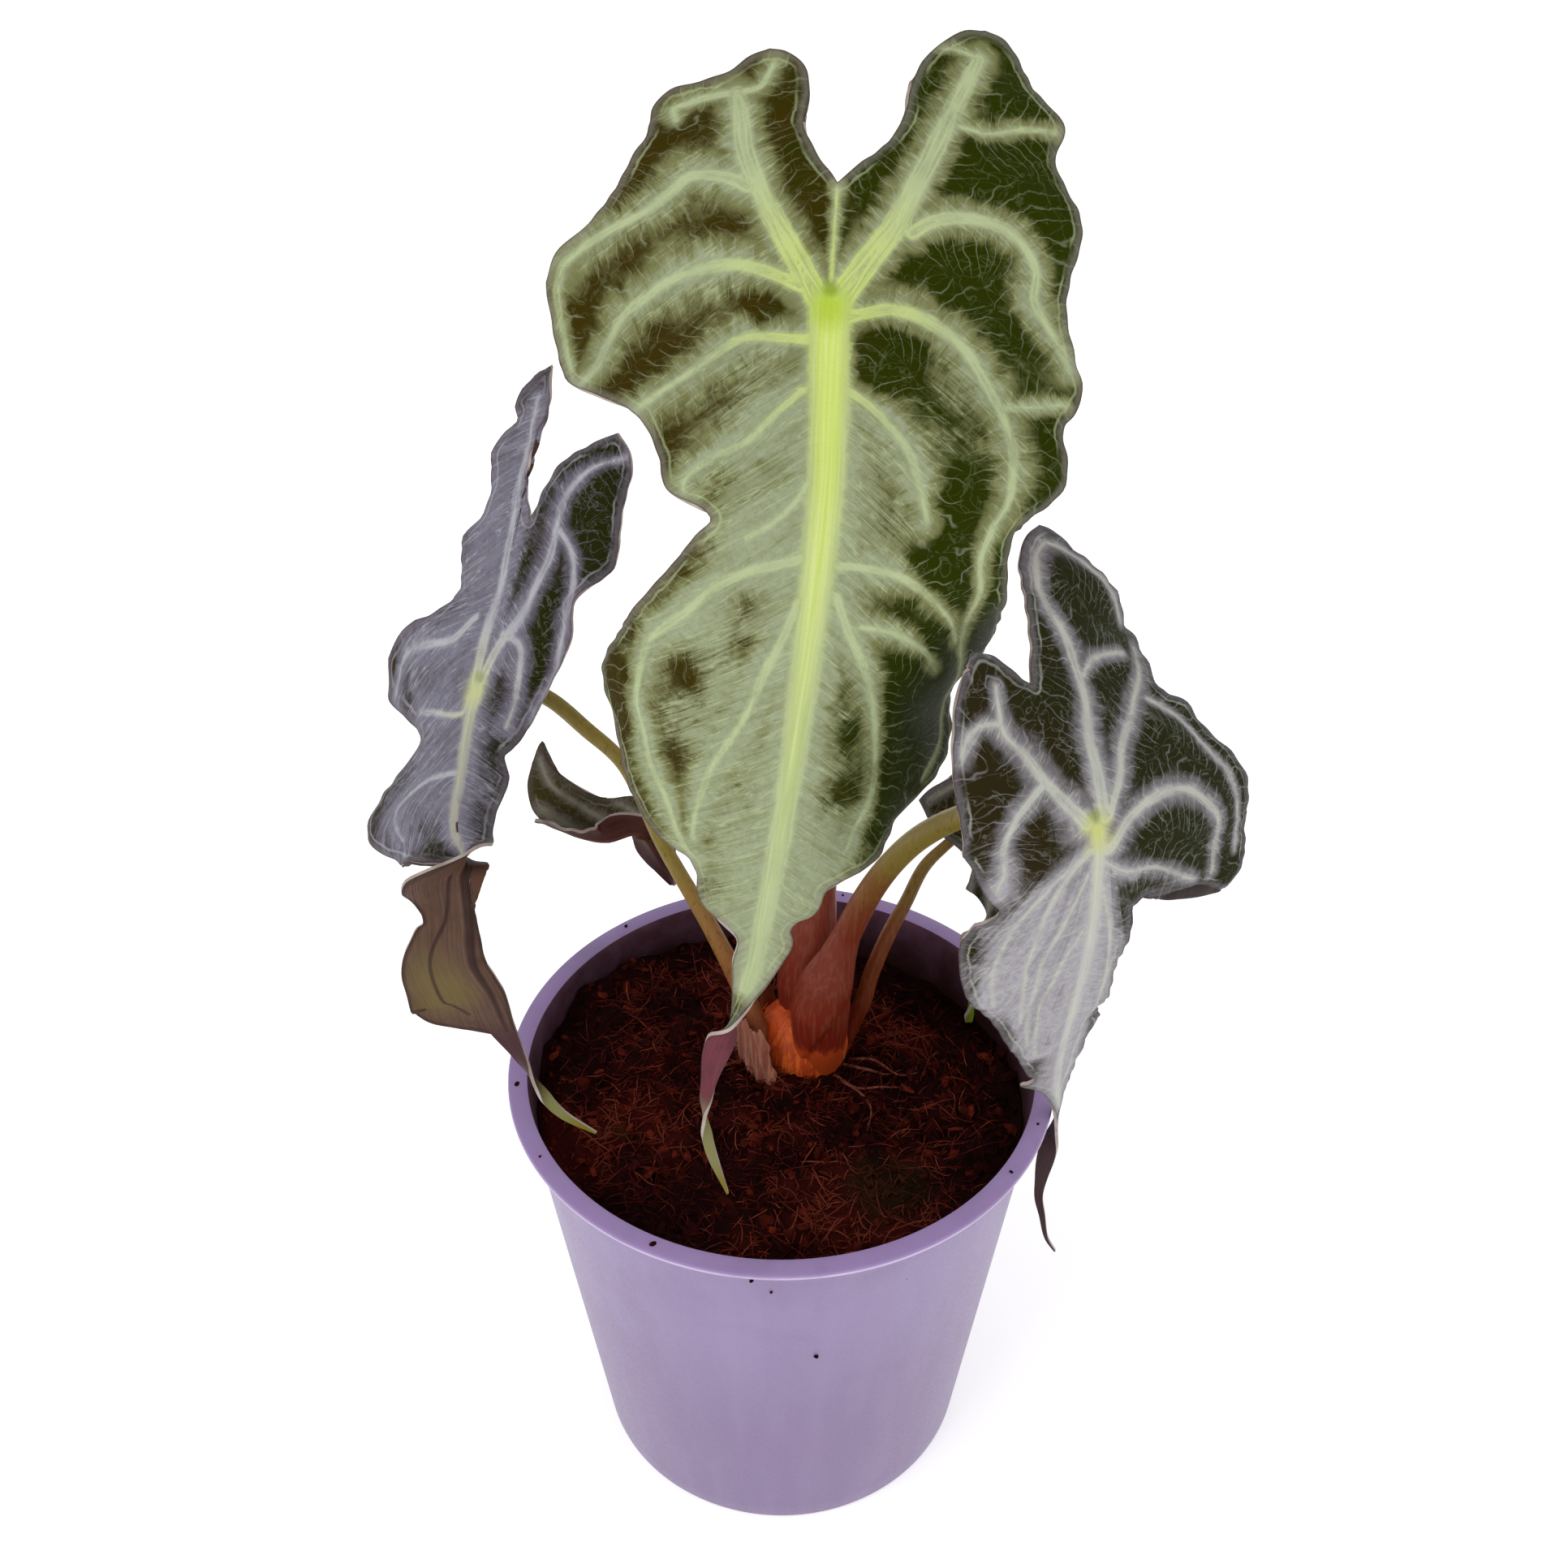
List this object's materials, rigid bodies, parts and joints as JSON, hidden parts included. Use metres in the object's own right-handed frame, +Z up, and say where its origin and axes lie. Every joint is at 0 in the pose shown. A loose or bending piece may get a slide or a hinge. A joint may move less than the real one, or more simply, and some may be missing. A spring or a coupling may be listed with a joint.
{
  "type": "potted alocasia",
  "caption": "Round tapered nursery pot of soil with a small aroid: corm, papery sheath, upright petioles and drooping wavy-lobed leaves with twisted drip tips",
  "frame": {"origin": "centre of the pot's base, on the ground plane", "axes": "+Z up along the pot's axis, -Y toward the front of the plant, where the large leaf faces, +X to the viewer's right"},
  "size_m": [0.1746, 0.127, 0.3157],
  "materials": {
    "pot_plastic": "satin lilac polypropylene",
    "soil_mix": "moist dark coir and bark crumbs",
    "corm_skin": "dull orange fibrous skin",
    "dry_sheath": "dry papery beige",
    "petiole_skin": "satin olive green turning red brown at the base",
    "leaf_blade": "velvet dark green with silver green veins, brown purple underside"
  },
  "bodies": {
    "root": {"pot": "pot_plastic", "soil": "soil_mix", "corm": "corm_skin", "sheath": "dry_sheath", "petiole_front": "petiole_skin", "petiole_left": "petiole_skin", "petiole_right": "petiole_skin", "petiole_back_left": "petiole_skin", "petiole_back_right": "petiole_skin", "blade_front": "leaf_blade", "blade_left": "leaf_blade", "blade_right": "leaf_blade", "blade_back_left": "leaf_blade", "blade_back_right": "leaf_blade"}
  },
  "joints": []
}
